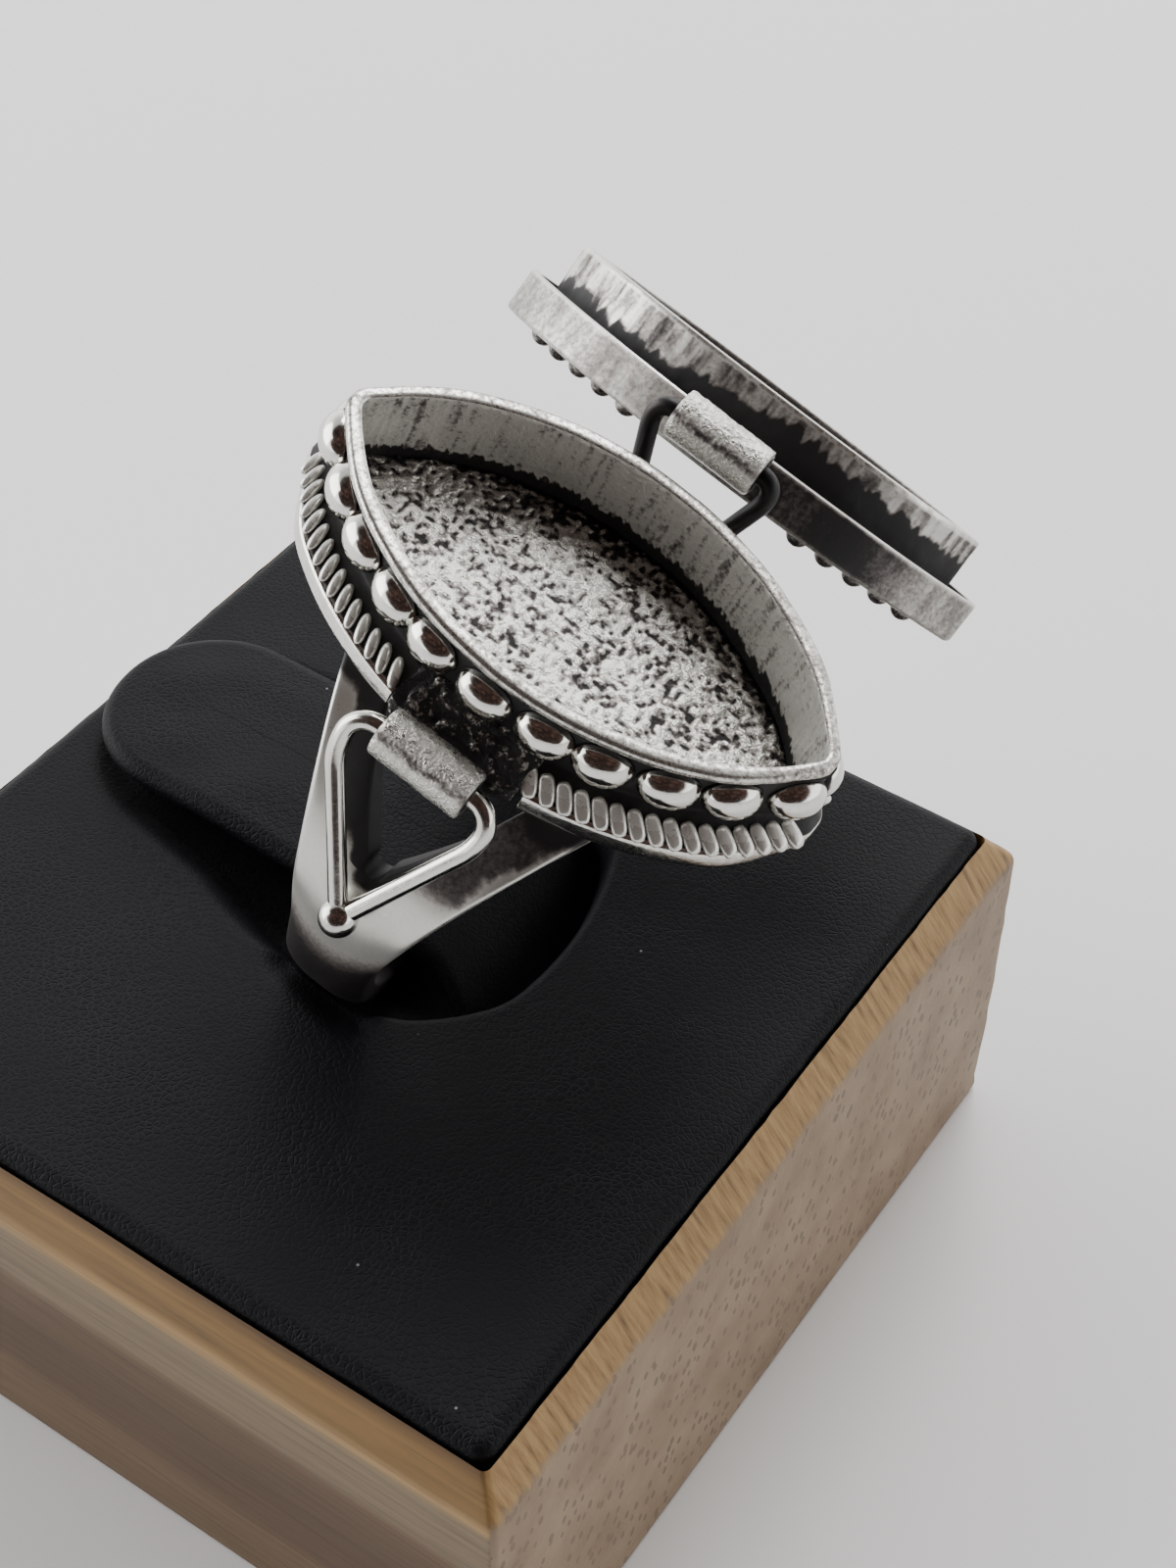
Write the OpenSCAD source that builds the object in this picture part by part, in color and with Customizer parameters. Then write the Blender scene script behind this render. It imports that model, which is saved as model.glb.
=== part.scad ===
// Antique silver poison ring with a pointed oval box, its hinged lid open,
// standing on a small bamboo display block.
// The ring is drawn in its own frame: origin at the middle of the box's mouth,
// x along the box, y towards the hinge, z up out of the box.

/* [Box] */
// Length of the box, from blunt tip to blunt tip of its mouth
box_l = 24; // [21:0.5:27]
// Width of the box at its mouth
box_w = 13.14; // [12:0.1:14.4]
// How much longer the two arcs of the outline would run before they meet in a point
tip_cut = 0.3; // [0.15:0.05:0.6]
// Thickness of the box's wall at the mouth
wall_t = 0.7; // [0.6:0.02:1]
// Depth of the box inside
box_deep = 3.5; // [3:0.1:3.6]
// Height of the box from the mouth to its underside
box_h = 4.7; // [4.5:0.1:5.2]
// Height of the plain strip round the mouth
lip_h = 0.42; // [0.3:0.02:0.6]
// How far the strip is set in at the two tips
lip_in = 0.3; // [0:0.05:0.35]
// Depth of the channel below the strip, where the beads lie
channel_in = 0.45; // [0.3:0.05:0.5]
// How far the foot of the box flares out past its mouth
foot_out = 1.15; // [0.9:0.05:1.4]
// How far the foot flares out at the two tips
tip_out = 0.7; // [0.4:0.05:1.2]
// Thickness of the foot at its edge
foot_t = 0.9; // [0.6:0.05:1]

/* [Beads and rope] */
// Distance from bead to bead
bead_pitch = 2.63; // [2.5:0.01:2.7]
// Length of a bead
bead_l = 2.45; // [2:0.05:2.5]
// Height of a bead
bead_h = 1.8; // [1.4:0.05:1.9]
// Distance of the beads' middle line below the mouth
bead_low = 1.84; // [1.6:0.02:2]
// Distance from turn to turn of the rope row
rope_pitch = 0.7; // [0.66:0.01:0.9]
// Length of one turn of the rope row
rope_l = 1.1; // [0.9:0.05:1.3]
// Thickness of one turn of the rope row
rope_d = 0.56; // [0.4:0.02:0.6]
// Slant of the turns
rope_slant = 28; // [15:1:40]

/* [Shank] */
// Bore of the shank, where the finger goes
finger_d = 19.54; // [18.5:0.1:20.5]
// Thickness of the shank
shank_t = 1.53; // [1.3:0.05:1.8]
// Width of the shank at its bottom
shank_w = 4; // [3.4:0.1:4.6]
// Width across the two arms where they meet the box
arms_w = 12.3; // [11.4:0.1:13]
// Height above the middle of the bore at which the shank starts to widen
widen_low = -3; // [-5:0.5:-2]
// Height above the middle of the bore at which the arms part
fork_high = 4.2; // [3.6:0.1:4.8]
// Width between the arms where they meet the box
fork_w = 7.6; // [6.6:0.1:8]

/* [Tubes, link and clasp] */
// Outer diameter of both hinge tubes
tube_d = 2.2; // [2:0.05:2.4]
// Length of both hinge tubes
tube_l = 4.2; // [3.8:0.1:4.6]
// Diameter of the wire of the link and the clasp
wire_d = 0.8; // [0.7:0.02:0.9]
// Clearance between wire and tube, all round
wire_gap = 0.05; // [0.03:0.01:0.08]
// Distance of the lid's hinge from the middle of the box
hinge_y = 8.9; // [8.8:0.05:9.3]
// Height of the lid's hinge above the mouth
hinge_z = 0.7; // [0.5:0.05:0.9]
// Distance of the front tube from the middle of the box
front_y = 8.49; // [8.4:0.05:8.9]
// Depth of the front tube below the mouth
front_low = 4.29; // [4:0.05:4.6]
// How far the front tube sits to the left of the middle
front_left = 0.5; // [0:0.1:0.6]
// Length of the clasp from the tube to its ball
clasp_l = 7.85; // [7.6:0.05:8.1]
// Radius of the clasp's bend as it leaves the tube
clasp_bend = 1.07; // [0.9:0.01:1.2]
// Radius of the link's bend as it leaves the tube
link_bend = 0.65; // [0.55:0.01:0.8]
// Diameter of the clasp's ball
ball_d = 1.6; // [1.3:0.05:1.7]

/* [Lid] */
// Angle by which the lid stands open
lid_open = 222; // [180:1:226]
// Height of the lid's band
lid_h = 2; // [1.7:0.05:2.3]
// Gap between the closed lid and the mouth
lid_gap = 0.1; // [0.08:0.01:0.2]
// Height of the lid's plug, which goes into the box
plug_h = 2.1; // [1.6:0.05:2.2]
// Thickness of the plug's wall
plug_t = 0.8; // [0.6:0.05:1]
// Gap between the plug and the wall of the box
plug_gap = 0.43; // [0.4:0.01:0.55]
// Thickness of the lid's top plate
plate_t = 1; // [0.8:0.05:1.2]
// Diameter of the small beads on the lid's face
stud_d = 1.1; // [0.9:0.05:1.2]
// Distance from bead to bead on the lid's face
stud_pitch = 1.6; // [1.45:0.05:2]

/* [Block and pad] */
// Width and length of the bamboo block
block_w = 41; // [38:0.2:45]
// Height of the bamboo block
block_h = 18.6; // [17:0.1:21]
// Width of the block's top chamfer
chamfer_w = 1.3; // [1:0.1:1.6]
// Drop of the block's top chamfer
chamfer_h = 1.7; // [1.2:0.1:2]
// Thickness of the leather pad
pad_t = 3.2; // [2.8:0.1:3.6]
// How far the pad stands above the block
pad_up = 0.4; // [0.2:0.1:0.8]
// Radius of the pad's rolled edge
pad_r = 1.2; // [0.8:0.1:1.5]
// Depth of the slot under the pad's top, in which the ring stands
pocket_deep = 4.81; // [4.6:0.01:5]
// Width of the pad's tongue, which goes through the ring
tongue_w = 10; // [9:0.1:10.6]
// Thickness of the pad's tongue
tongue_t = 1.5; // [1.3:0.1:1.7]
// Length of the tongue from its fold to its free end
tongue_l = 24.8; // [22:0.2:25]
// Height of the tongue's free end above the pad
tongue_up = 1.9; // [1.5:0.1:2.4]

/* [How the ring stands] */
// Lean of the ring to the right
ring_tilt = 21.7; // [20:0.1:23]
// Turn of the ring on the block
ring_yaw = 2.5; // [0:0.5:4]
// Place of the box's mouth to the right of the block's middle
ring_x = 7.83; // [7:0.1:9]
// Place of the box's mouth behind the block's middle
ring_y = 4.3; // [3.5:0.1:5.5]

/* [Hidden] */
$fn = 48;
// Gap between pieces that rest on each other
REST_GAP = 0.15;
// Extra length of a cut past the face that it opens
CUT = 1;

// The outline is two arcs of one radius, each with its centre across the box
half_w = box_w / 2;
full_a = box_l / 2 + tip_cut;
arc_r = (full_a * full_a + half_w * half_w) / box_w;
arc_c = arc_r - half_w;
tip_r = box_l / 2;
// Length of an arc from its middle to the point where the two would meet
arc_run = arc_r * asin(full_a / arc_r) * PI / 180;

// Levels of the box, down from its mouth
channel_r = arc_r - channel_in;
foot_top = -box_h + foot_t;
rope_z = foot_top + 0.3;
rope_r = arc_r + 0.42;
bead_z = -bead_low;

// The hoop of the shank, seen along the finger; its bore just grazes the box
BORE_IN = 0.15;
bore_r = finger_d / 2;
hoop_r = bore_r + shank_t;
hoop_z = -box_h - bore_r + BORE_IN;

// The tubes, and the plates that they are soldered to
tube_r = tube_d / 2;
wire_r = wire_d / 2;
tube_bore = wire_d + 2 * wire_gap;
front_z = -front_low;
plate_w = tube_l - 0.4;
plate_top = -2.4;
notch_w = tube_l + 1.4;
// Where the legs of a wire start to bend, from the middle of their tube
leg_out = tube_l / 2 + 0.1;

// The clasp hangs outwards, so that its ball lies on the fork of the shank
ball_r = ball_d / 2;
ball_reach = hoop_r + ball_r + REST_GAP;
hinge_span = norm([front_y, front_z - hoop_z]);
span_dir = atan2(front_z - hoop_z, front_y);
clasp_corner = acos((pow(hinge_span, 2) + pow(clasp_l, 2) - pow(ball_reach, 2))
    / (2 * hinge_span * clasp_l));
clasp_lean = span_dir + clasp_corner - 90;
KNEE = 0.02;
CLASP_CURVE = 3;
LINK_CURVE = 2;
link_lean = -17;
link_aim = 10;
link_l = 4.5;

// The ring stands on the floor of the pocket under the pad
pad_z = block_h + pad_up;
pad_w = block_w - 2 * chamfer_w;
pocket_z = pad_z - pocket_deep;
ring_z = pocket_z + REST_GAP + (hoop_r - hoop_z) * cos(ring_tilt) + shank_w / 2 * sin(ring_tilt);
// Middle of the hoop, seen from above
hoop_x = ring_x + hoop_z * sin(ring_tilt) * cos(ring_yaw);
hoop_y = ring_y + hoop_z * sin(ring_tilt) * sin(ring_yaw);
slot_side = 0.5;
fold_x = hoop_x + 4.2;
fold_t = 1.4;
fold_deep = pocket_deep - tongue_t - REST_GAP;
slot_l = tongue_l - 4.4;

// Upper face of the tongue, from its fold to its free end:
// share of the tongue's length, share of its rise, share of the fold's depth
TONGUE = [
    [0, 0, 1],
    [0.05, 0.05, 0.82],
    [0.14, 0.2, 0.28],
    [0.26, 0.48, 0.06],
    [0.37, 0.68, 0],
    [0.65, 0.9, 0],
    [1, 1, 0]
];
function tongue_x(row) = fold_x - row[0] * tongue_l;
function tongue_z(row) = pad_z + row[1] * tongue_up - row[2] * fold_deep;

// Angle by which a wire's leg turns in, from its curve on, to aim at (aim_x, -aim)
function lean_in(bend, curve, aim_x, aim) =
    let (dx = aim_x - (leg_out + bend - curve), dz = aim - bend)
    atan2(dz, dx) - acos(curve / norm([dx, dz]));

// Places things in the ring's frame on the block
module in_ring() {
    translate([ring_x, ring_y, ring_z]) rotate([0, ring_tilt, ring_yaw]) children();
}

// Flat outline of the box, moved outwards by out
module outline(out = 0) {
    intersection() {
        translate([0, arc_c]) circle(arc_r + out);
        translate([0, -arc_c]) circle(arc_r + out);
        circle(tip_r + out);
    }
}

// A solid with the box's outline, whose profile runs round each arc and each tip
module outline_turned() {
    intersection() {
        translate([0, arc_c, 0]) rotate_extrude() children(0);
        translate([0, -arc_c, 0]) rotate_extrude() children(0);
        rotate_extrude() children(1);
    }
}

// Profile of the box's outside: lip, channel, slope under the rope and flared foot
module box_profile(r, flare, lip) {
    polygon([
        [0, -box_h],
        [r + flare - 0.15, -box_h],
        [r + flare, -box_h + 0.15],
        [r + flare, foot_top - 0.15],
        [r + flare - 0.12, foot_top],
        [r + 0.3 * flare, rope_z],
        [r - channel_in, rope_z + 0.35],
        [r - channel_in, -lip_h - 0.12],
        [r - lip, -lip_h],
        [r - lip, -0.1],
        [r - lip - 0.1, 0],
        [0, 0]
    ]);
}

// Profile of the lid's band, with its outer edge eased
module band_profile(r) {
    polygon([[0, 0], [r, 0], [r, lid_h - 0.25], [r - 0.25, lid_h], [0, lid_h]]);
}

// A grain with round ends, along x
module grain(l, d) {
    rotate([0, 90, 0]) cylinder(d = d, h = l - d, center = true);
    for (s = [-1, 1]) translate([s * (l - d) / 2, 0, 0]) sphere(d = d);
}

// Places things along the front arc, run millimetres from the middle
module on_arc(run, r, z) {
    translate([0, arc_c, z]) rotate(run / arc_r * 180 / PI) translate([0, -r, 0]) children();
}

// The front side as drawn, or its mirror image at the back
module on_side(side) {
    if (side == 0) children();
    else mirror([0, 1, 0]) children();
}

module bead_row() {
    half_n = floor((arc_run - bead_l / 2) / bead_pitch);
    for (i = [-half_n : half_n])
        on_arc(i * bead_pitch, channel_r + 0.05, bead_z) grain(bead_l, bead_h);
}

// Turns of the rope row, left out over the width gap at mid, where a tube's plate sits
module rope_row(mid, gap) {
    half_n = floor(arc_run / rope_pitch - 1);
    for (i = [-half_n : half_n])
        if (abs(i * rope_pitch - mid) > gap / 2 + rope_l / 4)
            on_arc(i * rope_pitch, rope_r, rope_z)
                rotate([45, 0, 0]) rotate(rope_slant - 90) grain(rope_l, rope_d);
}

module tube_body(l) {
    rotate([0, 90, 0]) cylinder(d = tube_d, h = l, center = true);
}

module tube_hole(l) {
    rotate([0, 90, 0]) cylinder(d = tube_bore, h = l + 2 * CUT, center = true);
}

// One leg of a wire in its own plane: x along the tube, down is -z. It leaves the
// tube's end, bends down, curves in and runs straight towards (aim_x, -aim) to depth
module wire_leg(bend, curve, aim_x, aim, depth) {
    turn = lean_in(bend, curve, aim_x, aim);
    middle_x = leg_out + bend - curve;
    knee_x = middle_x + curve * cos(turn);
    knee_z = bend + curve * sin(turn);
    translate([leg_out, 0, -bend]) rotate([90, 0, 0]) rotate_extrude(angle = 90)
        translate([bend, 0]) circle(wire_r, $fn = 32);
    translate([middle_x, 0, -bend]) rotate([90, 0, 0]) rotate(-turn) rotate_extrude(angle = turn)
        translate([curve, 0]) circle(wire_r, $fn = 32);
    translate([knee_x, 0, -knee_z]) rotate([0, 180 + turn, 0])
        cylinder(r = wire_r, h = (depth - knee_z) / cos(turn), $fn = 32);
    // slight swellings where the stretches meet
    translate([leg_out + bend, 0, -bend]) sphere(wire_r + KNEE, $fn = 32);
    translate([knee_x, 0, -knee_z]) sphere(wire_r + KNEE, $fn = 32);
}

// The shank seen from the front: straight below, widening into two arms
module shank_face() {
    low = hoop_z + widen_low;
    high = -box_h + 0.4;
    dx = (arms_w - shank_w) / 2;
    dz = -box_h - low;
    flare = (dx * dx + dz * dz) / (2 * dx);
    translate([-shank_w / 2, hoop_z - hoop_r - CUT]) square([shank_w, low - hoop_z + hoop_r + CUT]);
    difference() {
        translate([-arms_w / 2 - 0.2, low]) square([arms_w + 0.4, high - low]);
        for (s = [-1, 1]) translate([s * (shank_w / 2 + flare), low]) circle(flare);
    }
}

// The gap between the two arms
module fork_face() {
    r = 0.45;
    low = hoop_z + fork_high + r;
    high = -box_h + CUT;
    translate([0, low]) circle(r);
    polygon([[-r, low], [r, low], [fork_w / 2, high], [-fork_w / 2, high]]);
}

module shank() {
    rotate([90, 0, 0]) linear_extrude(2 * hoop_r + CUT, center = true) difference() {
        shank_face();
        fork_face();
    }
}

module ring_box() {
    difference() {
        outline_turned() {
            box_profile(arc_r, foot_out, 0);
            box_profile(tip_r, tip_out, lip_in);
        }
        // the foot is cut away where the front tube sits
        translate([-front_left - notch_w / 2, -front_y - tube_r, -box_h - CUT])
            cube([notch_w, front_y + tube_r - half_w - 0.15, box_h + CUT + rope_z + 0.3]);
    }
}

module box_hollow() {
    translate([0, 0, -box_deep]) linear_extrude(box_deep + CUT) outline(-wall_t);
}

module front_plate() {
    translate([-front_left - plate_w / 2, -front_y + 0.5, -box_h])
        cube([plate_w, front_y - 0.5 - half_w + channel_in + 0.2, box_h + plate_top]);
}

module link_plate() {
    translate([-plate_w / 2, half_w - channel_in - 0.2, -box_h])
        cube([plate_w, 2.2, box_h + plate_top]);
}

// The link of the lid's hinge: a wire through the lid's tube, soldered to the box
module hinge_link() {
    translate([0, hinge_y, hinge_z]) rotate([link_lean, 0, 0]) {
        rotate([0, 90, 0]) cylinder(r = wire_r, h = 2 * leg_out, center = true, $fn = 32);
        for (s = [0, 1]) mirror([s, 0, 0]) wire_leg(link_bend, LINK_CURVE, 0, link_aim, link_l);
    }
}

module ring_body() {
    color("silver") in_ring() difference() {
        union() {
            ring_box();
            for (side = [0, 1]) on_side(side) {
                bead_row();
                rope_row(side == 0 ? -front_left : 0, side == 0 ? notch_w : plate_w);
            }
            front_plate();
            link_plate();
            intersection() {
                shank();
                translate([0, 0, hoop_z]) rotate([0, 90, 0])
                    cylinder(r = hoop_r, h = 2 * arms_w, center = true);
            }
            translate([-front_left, -front_y, front_z]) tube_body(tube_l);
            hinge_link();
        }
        box_hollow();
        translate([0, 0, hoop_z]) rotate([0, 90, 0]) cylinder(r = bore_r, h = 2 * arms_w, center = true);
        translate([-front_left, -front_y, front_z]) tube_hole(tube_l);
    }
}

// Small beads along one side of the lid's outer face, left out over gap at its middle
module stud_row(gap) {
    half_n = floor(arc_run / stud_pitch - 2);
    for (i = [-half_n : half_n])
        if (abs(i * stud_pitch) >= gap / 2)
            on_arc(i * stud_pitch, arc_r - 0.8, lid_gap + lid_h - 0.2) sphere(d = stud_d);
}

// The lid as it lies when closed
module lid_closed() {
    plug_out = -wall_t - plug_gap;
    difference() {
        union() {
            translate([0, 0, lid_gap]) outline_turned() {
                band_profile(arc_r);
                band_profile(tip_r);
            }
            translate([0, 0, -plug_h]) linear_extrude(plug_h + lid_gap + lid_h / 2) outline(plug_out);
            on_side(0) stud_row(0);
            // the beads stop short of the hinge's tube
            on_side(1) stud_row(tube_l + 2 * stud_pitch);
            translate([-plate_w / 2, half_w - 0.5, lid_gap]) cube([plate_w, hinge_y - half_w - 0.1, 1.2]);
            translate([0, hinge_y, hinge_z]) tube_body(tube_l);
        }
        translate([0, 0, -plug_h - CUT])
            linear_extrude(plug_h + CUT + lid_gap + lid_h - plate_t) outline(plug_out - plug_t);
        // the groove between the band's edge and the plug
        translate([0, 0, lid_gap - CUT]) linear_extrude(CUT + 0.3) difference() {
            outline(-0.45);
            outline(plug_out);
        }
        translate([0, hinge_y, hinge_z]) tube_hole(tube_l);
    }
}

module lid() {
    color("lightgray") in_ring()
        translate([0, hinge_y, hinge_z]) rotate([-lid_open, 0, 0]) translate([0, -hinge_y, -hinge_z])
            lid_closed();
}

module clasp() {
    pin_l = 1.2;
    color("gainsboro") in_ring()
        translate([-front_left, -front_y, front_z]) rotate([-clasp_lean, 0, 0]) {
            for (s = [-1, 1]) scale([s, 1, 1]) {
                translate([leg_out - pin_l, 0, 0]) rotate([0, 90, 0])
                    cylinder(r = wire_r, h = pin_l, $fn = 32);
                wire_leg(clasp_bend, CLASP_CURVE, s * front_left, clasp_l, clasp_l);
            }
            translate([front_left, 0, -clasp_l]) sphere(r = ball_r);
        }
}

// Side view of the block, with its chamfers
module block_face() {
    w = block_w / 2;
    polygon([
        [-w, 0], [w, 0], [w, block_h - chamfer_h], [w - chamfer_w, block_h],
        [chamfer_w - w, block_h], [-w, block_h - chamfer_h]
    ]);
}

module bamboo_block() {
    recess_w = pad_w + 2 * REST_GAP;
    color("tan") difference() {
        intersection() {
            rotate([90, 0, 0]) linear_extrude(block_w, center = true) block_face();
            rotate([90, 0, 90]) linear_extrude(block_w, center = true) block_face();
        }
        translate([-recess_w / 2, -recess_w / 2, pad_z - pad_t - REST_GAP])
            cube([recess_w, recess_w, pad_t + CUT]);
        translate([fold_x - slot_l - 0.5, hoop_y - tongue_w / 2 - slot_side - 0.5, pocket_z])
            cube([slot_l + fold_t + 0.5 + REST_GAP, tongue_w + 2 * slot_side + 1, block_h]);
    }
}

// Side view of the pad, with its rolled edges
module pad_face() {
    w = pad_w / 2;
    low = pad_z - pad_t;
    translate([-w, low]) square([pad_w, pad_t - pad_r]);
    translate([pad_r - w, low]) square([pad_w - 2 * pad_r, pad_t]);
    for (s = [-1, 1]) translate([s * (w - pad_r), pad_z - pad_r]) circle(pad_r);
}

// Side view of the tongue, from its fold to its free end
module tongue_face() {
    top = [for (row = TONGUE) [tongue_x(row), tongue_z(row)]];
    bottom = [for (i = [len(TONGUE) - 1 : -1 : 0]) [tongue_x(TONGUE[i]), tongue_z(TONGUE[i]) - tongue_t]];
    polygon(concat(top, bottom));
}

module leather_pad() {
    slot_w = tongue_w + 2 * slot_side;
    fold_low = pad_z - fold_deep - tongue_t;
    color("dimgray") {
        difference() {
            intersection() {
                rotate([90, 0, 0]) linear_extrude(pad_w, center = true) pad_face();
                rotate([90, 0, 90]) linear_extrude(pad_w, center = true) pad_face();
            }
            translate([fold_x - slot_l, hoop_y - slot_w / 2, 0]) cube([slot_l, slot_w, 2 * pad_z]);
            // the slit that the hoop stands in
            in_ring() translate([0, 0, hoop_z]) rotate([0, 90, 0])
                cylinder(r = hoop_r + 2 * REST_GAP, h = shank_w + 4 * REST_GAP, center = true);
        }
        // the fold, where the tongue comes up out of the pad
        translate([fold_x - 0.3, hoop_y - tongue_w / 2, fold_low])
            cube([fold_t + 0.3, tongue_w, pad_z - fold_low - pad_r]);
        intersection() {
            rotate([90, 0, 0]) linear_extrude(block_w, center = true) tongue_face();
            translate([0, hoop_y, 0]) linear_extrude(2 * pad_z) {
                end_x = fold_x - tongue_l + tongue_w / 2;
                translate([end_x, 0]) circle(tongue_w / 2);
                translate([end_x, -tongue_w / 2]) square([fold_x - end_x + fold_t, tongue_w]);
            }
        }
    }
}

ring_body();
lid();
clasp();
bamboo_block();
leather_pad();
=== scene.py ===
"""A silver poison ring standing in its bamboo and leather display block, dressed round the
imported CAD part."""

import bmesh
import bpy
import numpy as np
from mathutils import Matrix


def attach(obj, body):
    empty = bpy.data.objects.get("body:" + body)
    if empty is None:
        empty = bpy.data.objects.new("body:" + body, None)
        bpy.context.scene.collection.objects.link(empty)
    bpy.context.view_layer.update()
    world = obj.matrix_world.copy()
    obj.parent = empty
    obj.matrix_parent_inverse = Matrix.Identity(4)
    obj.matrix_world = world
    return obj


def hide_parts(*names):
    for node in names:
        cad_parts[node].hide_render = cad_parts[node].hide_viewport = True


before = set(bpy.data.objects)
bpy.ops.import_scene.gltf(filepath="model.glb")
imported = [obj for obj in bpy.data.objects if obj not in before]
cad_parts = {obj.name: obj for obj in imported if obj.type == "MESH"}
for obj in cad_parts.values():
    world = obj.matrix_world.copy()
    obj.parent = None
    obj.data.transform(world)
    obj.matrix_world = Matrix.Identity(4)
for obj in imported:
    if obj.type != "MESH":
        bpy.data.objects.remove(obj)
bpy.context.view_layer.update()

MM = 0.001
TAU = 2 * np.pi

# The ring's own frame on the block, in millimetres: its origin is the middle of the
# box's mouth, x runs along the box, y towards the hinge and z up out of the box.
RING_AT = np.array([7.83, 4.30, 38.884])
RING_TILT, RING_YAW = 21.7, 2.5

# Sizes of the ring, in millimetres, as in the part's source
ARC_R, ARC_C, ARC_END = 14.80, 8.23, 11.99
TIP_R = 12.0
BORE_R, HOOP_R, HOOP_Z = 9.77, 11.30, -14.32
HINGE = np.array([0.0, 8.9, 0.7])
FRONT = np.array([-0.5, -8.49, -4.29])
LID_OPEN = 222
TUBE_R, TUBE_L, WIRE_R = 1.1, 4.2, 0.4
CLASP_LEAN, CLASP_L, BALL_R = 25.38, 7.85, 0.8
LINK_LEAN = -17
FLOOR_Z = -3.5
BAND_HALF, ARM_ARC = 2.0, 20.3
FORK_Z, FORK_R = -9.85, 0.45
ROPE_PITCH, ROPE_LAST = 0.7, 19
STUD_PITCH, STUD_LAST, STUD_R = 1.6, 7, 0.55

# Shares of once round the outline: one side, and half of one tip
SIDE_U, TIP_U = 0.46, 0.02

# Sizes of the block and its pad
BLOCK_HALF, BLOCK_H, CHAMFER_H = 20.5, 18.6, 1.7
PAD_HALF, PAD_TOP, PAD_LOW, PAD_ROLL = 19.2, 19.05, 15.9, 0.8
TONGUE_Y, TONGUE_HALF = 4.07, 5.0


# Frames and noise
def turn(axis, degrees):
    """The matrix that turns points by an angle about x, y or z."""
    return np.array(Matrix.Rotation(np.radians(degrees), 3, axis))


RING_TURN = turn("Z", RING_YAW) @ turn("Y", RING_TILT)


def on_ring(points):
    """Points of the ring's frame, in the row frame."""
    return points @ RING_TURN.T + RING_AT


def on_lid(points):
    """Points of the closed lid, turned about its hinge to where it stands open."""
    return on_ring((points - HINGE) @ turn("X", -LID_OPEN).T + HINGE)


def on_clasp(points):
    """Points of the clasp's plane, hung from the front tube and leaning out."""
    return on_ring(points @ turn("X", -CLASP_LEAN).T + FRONT)


def as_is(points):
    """Points that are in the row frame already."""
    return points


def cloud(points, size, seed):
    """Smooth noise from -1 to 1: a random number at each corner of a lattice of cubes of
    that size, blended across each cube by the curve 3t^2 - 2t^3 along each axis."""
    table = np.random.default_rng(seed).uniform(-1, 1, 4096)
    cell = points / size
    low = np.floor(cell).astype(np.int64)
    part = cell - low
    part = part * part * (3 - 2 * part)
    total = np.zeros(points.shape[:-1])
    for corner in range(8):
        step = np.array([corner & 1, corner >> 1 & 1, corner >> 2 & 1])
        key = (low + step) @ np.array([73856093, 19349663, 83492791])
        share = np.where(step, part, 1 - part).prod(-1)
        total += table[(key ^ key >> 13) & 4095] * share
    return total


def smooth(low, high, value):
    """0 below low, 1 above high, and the curve 3t^2 - 2t^3 between them."""
    t = np.clip((value - low) / (high - low), 0, 1)
    return t * t * (3 - 2 * t)


# Meshes
def grid(points, tarnish_and_shade=0.0, wrap=(False, False)):
    """Faces over a rows x columns x 3 array of points; wrap joins the last row or column
    to the first. Tarnish, and in some pieces painted shade, is one number or one per point."""
    rows, cols = points.shape[:2]
    index = np.arange(rows * cols).reshape(rows, cols)
    if wrap[0]:
        index = np.vstack([index, index[:1]])
    if wrap[1]:
        index = np.hstack([index, index[:, :1]])
    quads = np.stack([index[:-1, :-1], index[:-1, 1:], index[1:, 1:], index[1:, :-1]], -1)
    dark = np.broadcast_to(tarnish_and_shade, (rows, cols)).ravel()
    return points.reshape(-1, 3), quads.reshape(-1, 4), dark


def piece(name, shapes, place, material, body="stand", slot="antique_silver", sharp=40):
    """One object from several grids: joined, placed, doubles merged so that poles and
    seams close, normals turned outwards, and edges sharper than the angle kept sharp."""
    counts = np.cumsum([0] + [len(s[0]) for s in shapes])
    points = place(np.vstack([s[0] for s in shapes])) * MM
    quads = np.vstack([s[1] + n for s, n in zip(shapes, counts)])
    mesh = bpy.data.meshes.new(name)
    mesh.from_pydata(points, [], quads)
    dark = mesh.attributes.new("tarnish_and_shade", "FLOAT", "POINT")
    dark.data.foreach_set("value", np.concatenate([s[2] for s in shapes]).astype(np.float32))
    made = bmesh.new()
    made.from_mesh(mesh)
    bmesh.ops.remove_doubles(made, verts=made.verts, dist=2e-7)
    bmesh.ops.dissolve_degenerate(made, edges=made.edges, dist=1e-8)
    bmesh.ops.recalc_face_normals(made, faces=made.faces)
    made.to_mesh(mesh)
    made.free()
    mesh.shade_smooth()
    mesh.set_sharp_from_angle(angle=np.radians(sharp))
    mesh.materials.append(material)
    thing = bpy.data.objects.new(name, mesh)
    bpy.context.scene.collection.objects.link(thing)
    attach(thing, body)
    return thing


def ball(middle, radii, axes, rows, cols, power=1.0, tarnish_and_shade=0.0):
    """A closed superellipsoid: cosines and sines of two angles, each raised to the power,
    times the radii along three axes. Power 1 is an ellipsoid, and less is boxier."""
    lift = np.linspace(-np.pi / 2, np.pi / 2, rows)[:, None]
    round_ = np.linspace(0, TAU, cols, endpoint=False)[None, :]
    bent = lambda v: np.sign(v) * np.abs(v) ** power
    local = np.stack([
        bent(np.cos(lift)) * bent(np.cos(round_)),
        bent(np.cos(lift)) * bent(np.sin(round_)),
        bent(np.sin(lift)) + 0 * round_], -1) * radii
    if axes is not None:
        local = local @ axes
    return grid(local + middle, tarnish_and_shade, (False, True))


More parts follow.
